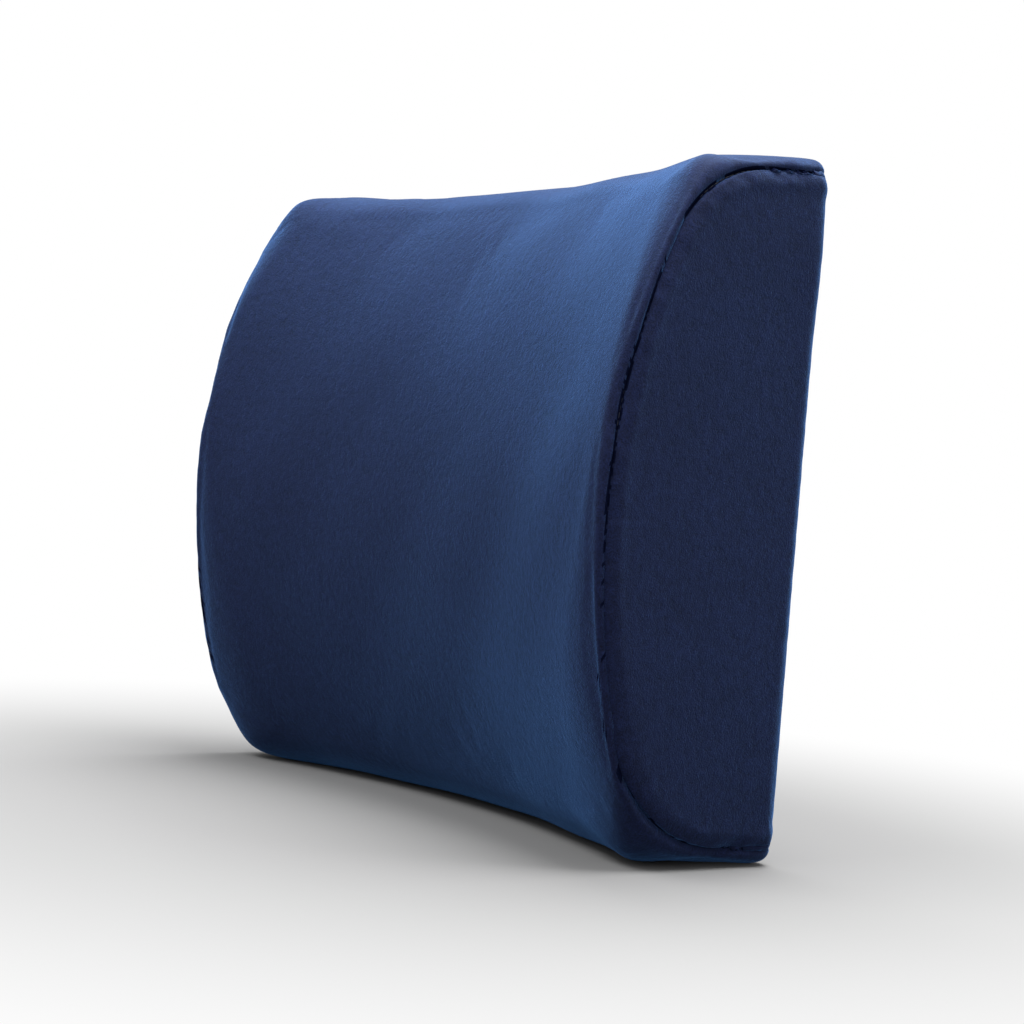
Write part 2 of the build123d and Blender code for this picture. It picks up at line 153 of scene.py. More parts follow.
def ripple(along, pitch, seed):
    """A slow irregular wave along a seam, from -1 to 1."""
    rng = np.random.default_rng(seed)
    wave = np.zeros_like(along)
    for share, weight in ((1.0, 0.5), (0.62, 0.3), (1.7, 0.35), (0.31, 0.3)):
        wave += weight * np.sin(2 * math.pi * along * share / pitch + rng.uniform(0, 6.3))
    return wave / 1.2


def normals_of(places, flip=False, pinched=False):
    """Unit normals of a grid of places; a pinched grid's outer columns shrink to a point."""
    across, along = np.gradient(places, axis=1), np.gradient(places, axis=0)
    normal = np.cross(across, along)
    length = np.linalg.norm(normal, axis=2, keepdims=True)
    normal = normal / np.maximum(length, 1e-12)
    if pinched:
        normal[:, :2] = normal[:, 2:3]
        normal[:, -2:] = normal[:, -3:-2]
    return -normal if flip else normal


# ---- the cushion's outlines: (depth from the back, height) from the top of the back to its base ----

def outline(corners, crown, radii, counts):
    """A D-shaped line through four corners: straight top, round, arc, round, straight base."""
    start, top, base, end = (np.array(c, float) for c in corners)
    middle = np.array(crown, float)
    twice = 2 * (
        top[0] * (middle[1] - base[1]) + middle[0] * (base[1] - top[1]) + base[0] * (top[1] - middle[1]))
    squares = [p @ p for p in (top, middle, base)]
    centre = np.array([
        squares[0] * (middle[1] - base[1]) + squares[1] * (base[1] - top[1])
        + squares[2] * (top[1] - middle[1]),
        squares[0] * (base[0] - middle[0]) + squares[1] * (top[0] - base[0])
        + squares[2] * (middle[0] - top[0]),
    ]) / twice
    reach = np.linalg.norm(top - centre)

    def round_off(corner, far, radius):
        """Where a round of this radius leaves the straight line and joins the arc."""
        way = (corner - far) / np.linalg.norm(corner - far)
        inwards = np.array([-way[1], way[0]])
        if inwards @ (middle * [0.3, 1] - corner) < 0:
            inwards = -inwards
        offset = far + radius * inwards - centre
        slope = offset @ way
        run = -slope + math.sqrt(max(slope ** 2 - offset @ offset + (reach - radius) ** 2, 0))
        hub = far + run * way + radius * inwards
        return far + run * way, hub, centre + (hub - centre) / np.linalg.norm(hub - centre) * reach

    def arc(hub, first, last, count):
        a, b = (math.atan2(p[1] - hub[1], p[0] - hub[0]) for p in (first, last))
        b -= 2 * math.pi * (b > a)
        turn = np.linspace(a, b, count)
        return hub + np.linalg.norm(first - hub) * np.stack([np.cos(turn), np.sin(turn)], axis=1)

    top_line, top_hub, top_arc = round_off(top, start, radii[0])
    base_line, base_hub, base_arc = round_off(base, end, radii[1])
    share = np.linspace(0, 1, counts[0])[:, None]
    last = np.linspace(0, 1, counts[4])[:, None]
    return np.vstack([
        (start + (top_line - start) * share)[:-1],
        arc(top_hub, top_line, top_arc, counts[1])[:-1],
        arc(centre, top_arc, base_arc, counts[2])[:-1],
        arc(base_hub, base_arc, base_line, counts[3])[:-1],
        base_line + (end - base_line) * last,
    ])


COUNTS = (16, 26, 120, 30, 18)
EDGE_TURN = BACK_EDGE * (1 - np.sin(np.linspace(SEAM_TURN, 0, 8)))


def with_back_edge(points, top_slope):
    """Carry an outline on, along its top and its base, to the back seam."""
    first = np.stack([EDGE_TURN[:-1], points[0, 1] + (points[0, 0] - EDGE_TURN[:-1]) * top_slope], axis=1)
    last = np.stack([EDGE_TURN[-2::-1], np.full(len(EDGE_TURN) - 1, points[-1, 1])], axis=1)
    return np.vstack([first, points, last])


def section(x, inset=0.0, softening=0.0):
    """The cover's outline where the cushion is cut at x."""
    bow = 1 - (x / HALF_WIDTH) ** 2
    top_depth, base_depth = TOP_DEPTH - TOP_SAG * bow - inset, BASE_DEPTH - BASE_SAG * bow - inset
    slope = TOP_FALL / top_depth
    corners = ((BACK_EDGE, HEIGHT - slope * BACK_EDGE - inset), (top_depth, HEIGHT - TOP_FALL - inset),
               (base_depth, inset), (BACK_EDGE, inset))
    points = outline(corners, (CROWN - CROWN_SAG * bow - inset, CROWN_HEIGHT),
                     (TOP_RADIUS + 1.35 * softening - inset, BASE_RADIUS + 0.55 * softening - inset), COUNTS)
    return with_back_edge(points, slope)


def end_seam_line():
    """The line where an end panel is sewn to the wrap."""
    slope = TOP_FALL / TOP_DEPTH
    corners = ((BACK_EDGE, HEIGHT - slope * BACK_EDGE - SEAM_TOP),
               (TOP_DEPTH - SEAM_FRONT, HEIGHT - TOP_FALL - SEAM_TOP),
               (BASE_DEPTH - SEAM_FRONT, SEAM_BASE), (BACK_EDGE, SEAM_BASE))
    points = outline(corners, (CROWN - SEAM_FRONT, CROWN_HEIGHT), (SEAM_TOP_RADIUS, SEAM_BASE_RADIUS), COUNTS)
    return with_back_edge(points, slope)


def round_sizes(seam):
    """The radius of the round towards an end face, all along the outline: large in front, small on top."""
    way = np.gradient(seam, axis=0)
    way /= np.linalg.norm(way, axis=1, keepdims=True)
    return TOP_ROUND + (FRONT_ROUND - TOP_ROUND) * way[:, 1] ** 2 * (seam[:, 0] > 2 * BACK_EDGE)


def outlines_at(reach):
    """The section's points, each taken at its own distance from the cushion's middle."""
    stations = np.linspace(0, HALF_WIDTH, 40)
    nearness = np.clip((stations - HALF_WIDTH + FRONT_ROUND) / FRONT_ROUND, 0, 1) ** 2
    table = np.array([section(x, 0.0, CORNER_SOFTENING * near) for x, near in zip(stations, nearness)])
    place = np.clip(np.abs(reach) / HALF_WIDTH * (len(stations) - 1), 0, len(stations) - 1.001)
    low = place.astype(int)
    share = (place - low)[..., None]
    column = np.broadcast_to(np.arange(table.shape[1]), low.shape)
    return table[low, column] * (1 - share) + table[low + 1, column] * share


def stand(x, depth_height):
    """Places in the row's frame from x and (depth, height), with the corners' lift."""
    depth, height = depth_height[..., 0], depth_height[..., 1]
    x = np.broadcast_to(x, depth.shape)
    ends = np.abs(x / HALF_WIDTH) ** 6
    high = np.clip((height - 0.8 * HEIGHT) / (0.2 * HEIGHT), 0, 1) ** 2
    low_middle = (1 - np.abs(x / HALF_WIDTH) ** 2) * high
    lift = np.where(x < 0, EAR_LIFT, -0.1 * EAR_LIFT) * ends * high - 1.0 * MM * low_middle
    near_back = np.exp(-depth / (25 * MM))
    shoulder = np.exp(-((height - 0.86 * HEIGHT) / (0.09 * HEIGHT)) ** 2)
    swell = (0.6 * MM + 1.6 * MM * shoulder) * ends * near_back
    return np.stack([x + np.sign(x) * swell, BACK_Y - depth + 0.5 * swell, height + lift], axis=-1)


def round_back(places, normal):
    """Round the edge towards the back, by drawing the sides in along their normals."""
    normal = normal * [1, 0, 1]
    normal /= np.maximum(np.linalg.norm(normal, axis=2, keepdims=True), 1e-9)
    depth = np.clip(BACK_Y - places[..., 1], 0, BACK_EDGE)
    draw = BACK_EDGE - np.sqrt(BACK_EDGE ** 2 - (BACK_EDGE - depth) ** 2)
    return places - normal * draw[..., None]


def seam_relief(places, gap, along, seed, ridge=0.7 * MM, depth=1.0, flip=False, pinched=False):
    """Draw the cloth in at a seam, let it swell beside the seam, and pucker it along the stitches."""
    normal = normals_of(places, flip, pinched)
    far = gap[..., None]
    wave = ripple(along, 17 * MM, seed)[..., None]
    fine = ripple(along, 5.5 * MM, seed + 7)[..., None]
    draw = 1.9 * MM * np.exp(-(far / (1.3 * MM)) ** 2) + 0.7 * MM * np.exp(-far / (3 * MM))
    swell = ridge * np.exp(-((far - 6 * MM) / (3.4 * MM)) ** 2)
    pucker = 0.3 * MM * wave * np.exp(-far / (7 * MM)) + 0.16 * MM * fine * np.exp(-far / (2.5 * MM))
    return places + normal * (swell + depth * (pucker - draw))


def run_length(places, axis):
    """The distance along a grid's rows or columns."""
    steps = np.linalg.norm(np.diff(places, axis=axis), axis=2)
    pad = [(0, 0), (0, 0)]
    pad[axis] = (1, 0)
    return np.pad(np.cumsum(steps, axis=axis), pad)


def turn_in(places, sides):
    """Add a hem of cloth, turned in towards the cushion's middle, beyond the named sides of a grid."""
    for end, axis in sides:
        rim = np.take(places, [0 if end == "first" else -1], axis)
        middle = rim * [0.8, 0, 0.8] + [0, -0.01, 0.1 * HEIGHT / 0.5]
        way = middle - rim
        rim = rim + HEM * way / np.linalg.norm(way, axis=2, keepdims=True)
        places = np.concatenate([rim, places] if end == "first" else [places, rim], axis)
    return places


# ---- cover panels ----

@functools.cache
def wrap_places():
    """Front, top and base in one sheet, round both ends to the end seams. Rows go along x."""
    seam = end_seam_line()
    sizes = round_sizes(seam)
    turn = np.full(len(seam), 1.0)
    for _ in range(6):
        at_seam = outlines_at(HALF_WIDTH - sizes * (1 - np.sin(turn)))
        inset = np.linalg.norm(seam - at_seam, axis=1)
        sizes = np.maximum(sizes, inset / 0.68)
        turn = np.arccos(np.clip(1 - inset / sizes, 0, 1))
    way = (seam - at_seam) / np.maximum(inset, 1e-9)[:, None]
    ends = []
    for share in np.linspace(0, 1, 18):
        angle = turn * share
        reach = HALF_WIDTH - sizes * (1 - np.sin(angle))
        ring = outlines_at(reach) + way * (sizes * (1 - np.cos(angle)))[:, None]
        ends.append(stand(reach, ring + (seam - ring) * (share == 1)))
    across = []
    for share in np.linspace(-1, 1, 105)[1:-1]:
        reach = share * (HALF_WIDTH - sizes)
        across.append(stand(reach, outlines_at(reach)))
    left = [row * [-1, 1, 1] for row in reversed(ends)]
    left_lift = [stand(row[:, 0], np.stack([BACK_Y - row[:, 1], row[:, 2]], axis=1)) for row in left]
    places = np.array(left_lift + across + ends)
    return places, normals_of(places), turn, sizes


def make_wrap():
    places = round_back(*wrap_places()[:2])
    rows = run_length(places, 0)
    columns = run_length(places, 1)
    to_end = np.minimum(rows, rows[-1] - rows)
    to_back = np.minimum(columns, columns[:, -1:] - columns)
    rng = np.random.default_rng(3)
    slack = sum(
        0.16 * MM * np.sin(rows * a + columns * b + rng.uniform(0, 6))
        for a, b in rng.uniform(-90, 90, (7, 2)))
    places = places + normals_of(places)[..., :] * slack[..., None]
    places = seam_relief(places, to_end, columns, 11)
    places = seam_relief(places, to_back, rows, 23, ridge=0.0, depth=0.4)
    places = turn_in(places, (("first", 0), ("last", 0), ("first", 1), ("last", 1)))
    return places


def end_places(side):
    """An end panel: from the end seam to the back seam."""
    seam = end_seam_line()
    _, normals, turn, sizes = wrap_places()
    inset = sizes * (1 - np.cos(turn))
    run = np.concatenate([[0], np.cumsum(np.linalg.norm(np.diff(seam, axis=0), axis=1))])
    share = run / run[-1]
    back = np.stack([np.full(len(seam), BACK_SEAM), seam[0, 1] + (seam[-1, 1] - seam[0, 1]) * share], axis=1)
    rows = []
    for step in 0.5 - 0.5 * np.cos(np.linspace(0, math.pi, 64)):
        ring = seam + (back - seam) * step
        gap = np.linalg.norm(ring[:, None] - seam[None], axis=2).min(axis=1)
        short = np.clip(1 - (inset + gap) / sizes, 0, 1)
        rows.append(stand(side * (HALF_WIDTH - sizes * (1 - np.sqrt(1 - short ** 2))), ring))
    places = np.array(rows)
    seam_normal = normals[-1] * [side, 1, 1]
    inwards = np.linalg.norm(places - places[:1], axis=2, keepdims=True)
    share = np.clip(inwards / (9 * MM), 0, 1)
    normal = seam_normal[None] * (1 - share) + np.array([side, 0.0, 0]) * share
    normal /= np.linalg.norm(normal, axis=2, keepdims=True)
    return round_back(places, normal)


@functools.cache
def make_end(side):
    places = end_places(side)
    along = np.broadcast_to(run_length(places, 1)[:1], places.shape[:2])
    flat = places[..., 1:]
    gap = np.array([
        np.linalg.norm(row[:, None] - flat[0][None], axis=2).min(axis=1) for row in flat])
    back = np.maximum(BACK_Y - BACK_SEAM - places[..., 1], 0) * 1.6
    flip = side < 0
    places = seam_relief(places, gap, along, 11, ridge=0.5 * MM, flip=flip, pinched=True)
    places = seam_relief(places, back, places[..., 2], 31, ridge=0.0, depth=0.4, flip=flip, pinched=True)
    return turn_in(places, (("first", 0), ("last", 0)))


BACK_FLAT = EDGE - BACK_EDGE
FOLD = BACK_FLAT + BACK_EDGE * (math.pi / 2 - SEAM_TURN)


def back_fold(distance):
    """(reach along the back, depth) at a distance beyond the flat, round the back's edge."""
    bend = np.clip((distance - BACK_FLAT) / BACK_EDGE, 0, math.pi / 2)
    return (np.minimum(distance, BACK_FLAT) + BACK_EDGE * np.sin(bend), BACK_EDGE * (1 - np.cos(bend)))


def back_places(low, high, fold_low):
    """A back panel between two heights; its outer sides fold round the cushion's edge."""
    inner = HALF_WIDTH - EDGE
    fold_steps = np.linspace(0, FOLD, 12)
    flat_x = np.linspace(-inner, inner, 121)
    sheet_x = np.concatenate([-inner - fold_steps[:0:-1], flat_x, inner + fold_steps[1:]])
    top, base = HEIGHT - EDGE, EDGE
    if fold_low:
        sheet_z = np.concatenate([base - fold_steps[:0:-1], np.linspace(base, high, 22)])
    else:
        sheet_z = np.concatenate([np.linspace(low, top, 86), top + fold_steps[1:]])
    x, z = np.meshgrid(sheet_x, sheet_z)
    past_x = np.clip(np.abs(x) - inner, 0, None)
    past_z = np.clip(z - top, 0, None) + np.clip(base - z, 0, None)
    length = np.hypot(past_x, past_z)
    far = np.maximum(past_x, past_z)
    reach, depth = back_fold(far)
    safe = np.maximum(length, 1e-9)
    out_x = np.clip(np.abs(x), 0, inner) + reach * past_x / safe
    out_z = np.clip(z, base, top) + reach * past_z / safe * np.where(z < base, -1, 1)
    return np.stack([np.sign(x) * out_x, depth, out_z], axis=-1), far


def make_back(low, high, fold_low):
    raw, far = back_places(low, high, fold_low)
    x, height = raw[..., 0], raw[..., 2]
    opening = ZIP_OPENING * np.clip((ZIP_HALF + 3 * MM - np.abs(x)) / (5 * MM), 0, 1) ** 0.5
    from_zip = np.clip(1 - np.abs(height - ZIP_Z) / (30 * MM), 0, 1)
    shift = opening * from_zip * (-1 if fold_low else 1)
    places = stand(x, np.stack([raw[..., 1], height], axis=-1))
    places[..., 2] += shift
    to_zip = np.abs(height - ZIP_Z)
    to_seam = FOLD - far
    along = np.where(np.abs(x) > np.abs(HALF_WIDTH - EDGE), height, x)
    places = seam_relief(places, to_seam, along, 41, ridge=0.3 * MM, flip=True)
    plain = np.abs(x) > ZIP_HALF + 3 * MM
    zip_gap = np.where(plain, to_zip, 1.0)
    places = seam_relief(places, zip_gap, x, 43, ridge=0.2 * MM, flip=True)
    sides = (("first", 0), ("last", 0), ("first", 1), ("last", 1))
    return turn_in(places, sides)


# ---- the cloth, stuffed from inside ----

def stuff(piece, cap):
    """Press the foam against a cover panel that is held along its seams."""
    mesh = piece.data
    rest = np.array([v.co for v in mesh.vertices])
    bm = bmesh.new()
    bm.from_mesh(mesh)
    held = {v.index for v in bm.verts if v.is_boundary}
    for _ in range(3):
        held |= {e.other_vert(v).index for v in bm.verts if v.index in held for e in v.link_edges}
        bm.verts.ensure_lookup_table()
    bm.free()
    group = piece.vertex_groups.new(name="seams")
    group.add(sorted(held), 1.0, "REPLACE")
    cloth = piece.modifiers.new("stuffing", "CLOTH")
    cloth.settings.quality = 4
    cloth.settings.mass = 0.05
    cloth.settings.tension_stiffness = cloth.settings.compression_stiffness = 25
    cloth.settings.bending_stiffness = 4
    cloth.settings.use_pressure = True
    cloth.settings.uniform_pressure_force = 4
    cloth.settings.effector_weights.gravity = 0
    cloth.settings.vertex_group_mass = "seams"
    cloth.collision_settings.use_collision = False
    for frame in range(1, STUFFING_FRAMES + 1):
        bpy.context.scene.frame_set(frame)
    graph = bpy.context.evaluated_depsgraph_get()
    moved = np.array([v.co for v in piece.evaluated_get(graph).data.vertices]) - rest
    piece.modifiers.clear()
    piece.vertex_groups.clear()
    bpy.context.scene.frame_set(1)
    length = np.maximum(np.linalg.norm(moved, axis=1, keepdims=True), 1e-9)
    moved *= np.tanh(length / cap) * cap / length
    mesh.vertices.foreach_set("co", (rest + moved).ravel())
    mesh.update()
    return piece


# ---- materials ----

def new_material(name):
    material = bpy.data.materials.new(name)
    material.use_nodes = True
    nodes = material.node_tree.nodes
    return material, nodes, material.node_tree.links, nodes["Principled BSDF"]


def object_noise(nodes, links, scale, detail=3.0, roughness=0.6, stretch=(1, 1, 1)):
    """A noise in the object's own coordinates."""
    place = nodes.new("ShaderNodeTexCoord")
    mapping = nodes.new("ShaderNodeMapping")
    mapping.inputs["Scale"].default_value = stretch
    noise = nodes.new("ShaderNodeTexNoise")
    noise.inputs["Scale"].default_value = scale
    noise.inputs["Detail"].default_value = detail
    noise.inputs["Roughness"].default_value = roughness
    links.new(place.outputs["Object"], mapping.inputs["Vector"])
    links.new(mapping.outputs["Vector"], noise.inputs["Vector"])
    return noise.outputs["Fac"]


def ramp(nodes, links, value, stops):
    """A colour ramp driven by a value."""
    node = nodes.new("ShaderNodeValToRGB")
    for index, (at, colour) in enumerate(stops):
        stop = node.color_ramp.elements[index] if index < 2 else node.color_ramp.elements.new(at)
        stop.position = at
        stop.color = (*colour, 1)
    links.new(value, node.inputs["Fac"])
    return node.outputs["Color"]


def mix_colours(nodes, links, share, first, second, how="MIX"):
    node = nodes.new("ShaderNodeMix")
    node.data_type = "RGBA"
    node.blend_type = how
    inputs = ((node.inputs["Factor"], share), (node.inputs["A"], first), (node.inputs["B"], second))
    for socket, value in inputs:
        if hasattr(value, "is_linked"):
            links.new(value, socket)
        else:
            socket.default_value = value if isinstance(value, float) else (*value, 1)
    return node.outputs["Result"]


def bump(nodes, links, height, distance, strength=1.0, under=None):
    node = nodes.new("ShaderNodeBump")
    node.inputs["Strength"].default_value = strength
    node.inputs["Distance"].default_value = distance
    links.new(height, node.inputs["Height"])
    if under is not None:
        links.new(under, node.inputs["Normal"])
    return node.outputs["Normal"]


def velour_material(name="navy_velour"):
    """Short cut pile: dark at its roots, with a soft bright sheen where it is seen edge on."""
    material, nodes, links, shader = new_material(name)
    tufts = object_noise(nodes, links, 1400.0, 2.0, 0.7)
    nap = object_noise(nodes, links, 300.0, 5.0, 0.72, (1.0, 1.0, 0.9))
    strokes = object_noise(nodes, links, 24.0, 3.0, 0.55)
    pile = ramp(nodes, links, tufts, ((0.30, (0.0014, 0.0027, 0.0120)), (0.72, (0.0060, 0.0108, 0.0450))))
    shade = ramp(nodes, links, nap, ((0.25, (0.5, 0.5, 0.54)), (0.75, (1.45, 1.45, 1.4))))
    brushed = ramp(nodes, links, strokes, ((0.3, (0.9, 0.9, 0.92)), (0.7, (1.1, 1.1, 1.08))))
    colour = mix_colours(nodes, links, 1.0, pile, shade, "MULTIPLY")
    colour = mix_colours(nodes, links, 1.0, colour, brushed, "MULTIPLY")
    links.new(colour, shader.inputs["Base Color"])
    shader.inputs["Roughness"].default_value = 0.92
    shader.inputs["Specular IOR Level"].default_value = 0.12
    shader.inputs["Sheen Weight"].default_value = 0.38
    shader.inputs["Sheen Roughness"].default_value = 0.36
    shader.inputs["Sheen Tint"].default_value = (0.13, 0.40, 1.0, 1)
    relief = bump(nodes, links, nap, 0.5 * MM, 0.85)
    links.new(bump(nodes, links, tufts, 0.35 * MM, 0.8, relief), shader.inputs["Normal"])
    return material


def plain_material(name, dark, light, roughness, scale, depth, specular=0.3):
    """A finish with a fine grain in its colour and its surface."""
    material, nodes, links, shader = new_material(name)
    grain = object_noise(nodes, links, scale)
    links.new(ramp(nodes, links, grain, ((0.3, dark), (0.7, light))), shader.inputs["Base Color"])
    shader.inputs["Roughness"].default_value = roughness
    shader.inputs["Specular IOR Level"].default_value = specular
    links.new(bump(nodes, links, grain, depth), shader.inputs["Normal"])
    return material


VELOUR = velour_material()
# painted shade: a dark velour without sheen, put on the faces in the seam grooves where shade falls
SEAM_PAINTED_SHADE = plain_material(
    "velour_painted_seam_shade", (0.0012, 0.002, 0.0075), (0.003, 0.0045, 0.0155), 0.95, 900.0, 0.2 * MM, 0.0)
BUCKLE_PLASTIC = plain_material(
    "buckle_plastic", (0.012, 0.012, 0.014), (0.02, 0.02, 0.022), 0.42, 900.0, 0.03 * MM, 0.5)
WEBBING = plain_material(
    "strap_webbing", (0.010, 0.014, 0.030), (0.022, 0.030, 0.058), 0.75, 700.0, 0.15 * MM)
ZIP_METAL = plain_material(
    "zip_enamel", (0.012, 0.016, 0.035), (0.02, 0.026, 0.05), 0.35, 400.0, 0.02 * MM, 0.5)
ZIP_TAPE = plain_material(
    "zip_tape", (0.012, 0.016, 0.036), (0.022, 0.030, 0.060), 0.8, 1200.0, 0.1 * MM)
FOAM = plain_material("foam", (0.72, 0.66, 0.44), (0.84, 0.79, 0.6), 0.9, 500.0, 0.2 * MM)
LINER = plain_material("liner_knit", (0.62, 0.62, 0.6), (0.8, 0.8, 0.78), 0.9, 900.0, 0.1 * MM)
THREAD = plain_material(
    "sewing_thread", (0.0015, 0.002, 0.007), (0.003, 0.005, 0.014), 0.7, 1500.0, 0.05 * MM)
LABEL = plain_material(
    "label_satin", (0.22, 0.22, 0.21), (0.28, 0.28, 0.27), 0.45, 1100.0, 0.05 * MM)


# how wide the painted seam shade reaches on each side of a seam
SEAM_SHADE_WIDTH, SEAM_SHADE_WAVE, SEAM_SHADE_LEAST = 1.5 * MM, 0.4, 1.0 * MM    # each side of a seam


def paint_seam_shade(piece, lines):
    """Painted shade along a seam: the faces near it get a dark material without sheen, a thin, broken dark
    line.
    """
    piece.data.materials.append(SEAM_PAINTED_SHADE)
    mesh = piece.data
    centres = np.array([face.center for face in mesh.polygons])
    line = np.vstack(lines)
    near = np.full(len(centres), 1.0)
    for start in range(0, len(centres), 4000):
        block = centres[start:start + 4000]
        near[start:start + 4000] = np.linalg.norm(block[:, None] - line[None], axis=2).min(axis=1)
    along = centres @ [1.0, 1.1, 0.9]
    width = SEAM_SHADE_WIDTH + SEAM_SHADE_WAVE * ripple(along, 6 * MM, 5) * MM
    index = (near < np.maximum(width, SEAM_SHADE_LEAST)).astype(np.int32)
    mesh.polygons.foreach_set("material_index", index)


def dress(piece, material, body):
    piece.data.materials.clear()
    piece.data.materials.append(material)
    if body:
        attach(piece, body)
    return piece


# ---- build the cover ----

def build_cover():
    wrap = thicken(stuff(cloth_sheet("cover_wrap_velour", make_wrap()), STUFFING_CAP))
    dress(wrap, VELOUR, "cushion")
    # the end seams get a thin, broken line of painted shade
    paint_seam_shade(wrap, [make_end(1)[1], make_end(-1)[1]])
    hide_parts("cover_wrap")
    right = thicken(stuff(cloth_sheet("end_panel_right_velour", make_end(1)), STUFFING_CAP))
    dress(right, VELOUR, "cushion")
    paint_seam_shade(right, [make_end(1)[1]])
    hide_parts("end_panel_right")
    left = thicken(stuff(cloth_sheet("end_panel_left_velour", make_end(-1), flip=True), STUFFING_CAP))
    dress(left, VELOUR, "cushion")
    paint_seam_shade(left, [make_end(-1)[1]])
    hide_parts("end_panel_left")
    upper = thicken(cloth_sheet("back_panel_upper_velour", make_back(ZIP_Z, HEIGHT, False), flip=True))
    dress(upper, VELOUR, "cushion")
    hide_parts("back_panel_upper")
    lower = thicken(cloth_sheet("back_panel_lower_velour", make_back(0, ZIP_Z, True), flip=True))
    dress(lower, VELOUR, "cushion")
    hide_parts("back_panel_lower")


# ---- foam and liner ----

def closed_form(name, inset):
    """A closed D-shaped form, set in from the cover."""
    spread = HALF_WIDTH - inset
    stations = np.concatenate([[-1 + 0.12], np.linspace(-1 + 0.06, 1 - 0.06, 41), [1 - 0.12]])
    rows = []
    for index, share in enumerate(stations):
        end = index in (0, len(stations) - 1)
        x = math.copysign(1.0, share) * (spread - 8 * MM) if end else share * (spread - 8 * MM) / 0.94
        shrink = 12 * MM if end else 2.5 * MM
        points = section(x, inset + shrink, CORNER_SOFTENING)
        points = np.vstack([points, points[:1]])
        points[:, 0] = np.maximum(points[:, 0], inset)
        rows.append(stand(x, points))
    return piece_from(tube(np.array(rows)), name)


def tube(places):
    """A closed tube of rows, with both its ends filled."""
    rows, columns = places.shape[:2]
    bm = bmesh.new()
    bmesh.ops.create_grid(bm, x_segments=columns - 1, y_segments=rows - 1, size=1.0)
    for vertex in bm.verts:
        column = round((vertex.co.x + 1) / 2 * (columns - 1))
        row = round((vertex.co.y + 1) / 2 * (rows - 1))
        vertex.co = places[row, column]
    bmesh.ops.remove_doubles(bm, verts=bm.verts, dist=0.02 * MM)
    bmesh.ops.holes_fill(bm, edges=[e for e in bm.edges if e.is_boundary], sides=0)
    bmesh.ops.recalc_face_normals(bm, faces=bm.faces)
    return bm


def build_filling():
    foam = closed_form("foam_block", 6 * MM)
    dress(foam, FOAM, "cushion")
    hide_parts("foam_core")
    liner = thicken(closed_form("liner_bag", 4.6 * MM), 0.5 * MM)
    dress(liner, LINER, "cushion")
    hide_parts("inner_liner")


# ---- stitches ----

def thread(name, ends, radius):
    """One short capsule of thread between each pair of points."""
    whole = bmesh.new()
    for start in range(0, len(ends), 24):
        bm = bmesh.new()
        for first, last in ends[start:start + 24]:
            first, last = Vector(first), Vector(last)
            way = last - first
            turned = way.to_track_quat("Z", "Y").to_matrix().to_4x4()
            stretch = Matrix.Diagonal((1, 1, (way.length / 2 + radius) / radius, 1))
            place = Matrix.Translation((first + last) / 2) @ turned @ stretch
            bmesh.ops.create_uvsphere(bm, u_segments=8, v_segments=6, radius=radius, matrix=place)
        part = bpy.data.meshes.new("part")
        bm.to_mesh(part)
        bm.free()
        whole.from_mesh(part)
        bpy.data.meshes.remove(part)
    return piece_from(whole, name)


def stitches_along(line, pitch, gap):
    """Pairs of points: a stitch every pitch along a line."""
    run = np.concatenate([[0], np.cumsum(np.linalg.norm(np.diff(line, axis=0), axis=1))])
    marks = np.arange(pitch / 2, run[-1] - pitch, pitch)
    at = lambda where: np.stack([np.interp(where, run, line[:, k]) for k in range(3)], axis=1)
    return list(zip(at(marks), at(marks + pitch - gap)))


def build_seams():
    for side, name in ((1, "right"), (-1, "left")):
        panel = make_end(side)
        line = (panel[1] * 0.5 + panel[2] * 0.5)[8:-8]
        row = thread(f"end_seam_{name}_stitches", stitches_along(line, 3.4 * MM, 0.9 * MM), 0.32 * MM)
        dress(row, THREAD, "cushion")
        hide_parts(f"end_seam_{name}")
    upper = make_back(ZIP_Z, HEIGHT, False)
    lower = make_back(0, ZIP_Z, True)
    around = np.vstack([upper[1:, 1], upper[-2, 1:-1], upper[-2:0:-1, -2], lower[-2:0:-1, -2],
                        lower[1, -2:0:-1], lower[1:-1, 1]])
    row = thread("back_seam_stitches", stitches_along(around, 3.4 * MM, 0.9 * MM), 0.32 * MM)
    dress(row, THREAD, "cushion")
    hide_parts("back_seam")


# ---- zip ----

